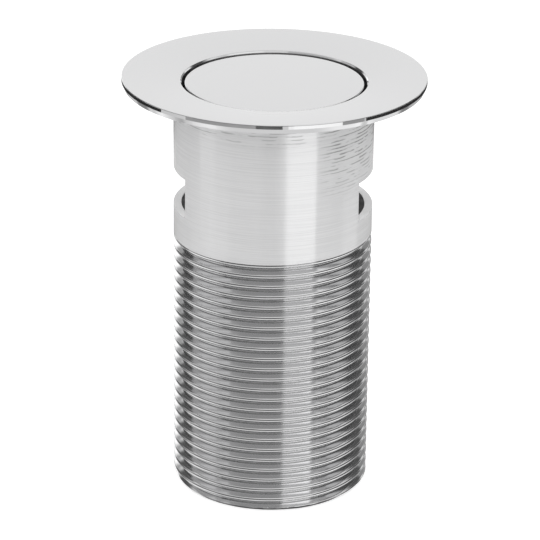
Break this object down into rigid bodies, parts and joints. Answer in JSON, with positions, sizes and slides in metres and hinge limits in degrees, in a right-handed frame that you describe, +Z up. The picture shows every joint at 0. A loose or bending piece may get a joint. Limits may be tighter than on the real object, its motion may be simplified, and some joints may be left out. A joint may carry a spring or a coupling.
{
  "type": "slotted basin waste with push-open plug",
  "caption": "Slotted basin waste: dished round flange, pipe-threaded tail, overflow slots through the tube and a flush push-open plug on a sprung cartridge.",
  "frame": {"origin": "centre of the tail's open end", "axes": "+Z up along the axis of the tube, out through the flange; the two overflow slots face +X and -X"},
  "size_m": [0.063, 0.063, 0.09],
  "materials": {
    "plated_body": "bright plating on turned brass: polished flange, tube with fine turning marks",
    "plated_plug": "polished plating",
    "brass": "turned brass, unplated",
    "bridge_plastic": "moulded black polyamide",
    "cartridge_plastic": "moulded acetal",
    "cam_plastic": "moulded acetal",
    "seal_rubber": "moulded rubber",
    "steel": "stainless steel"
  },
  "bodies": {
    "waste": {"waste_body": "plated_body", "bridge": "bridge_plastic", "cartridge_sleeve": "cartridge_plastic", "cartridge_collar": "cartridge_plastic", "collar_seal": "seal_rubber", "cartridge_washer": "steel", "cartridge_nut": "brass", "return_spring": "steel"},
    "plug": {"plug_cap": "plated_plug", "seal_carrier": "cartridge_plastic", "plug_seal": "seal_rubber", "adjusting_stud": "steel", "lock_nut": "steel", "plunger": "cam_plastic", "cam_rotor": "cam_plastic"}
  },
  "joints": [
    {"name": "plug_travel", "type": "slide", "parent": "waste", "child": "plug", "axis": [0, 0, 1], "range_m": [-0.0015, 0.009], "stiffness_N_per_m": 1500, "deforming": ["return_spring"]}
  ]
}
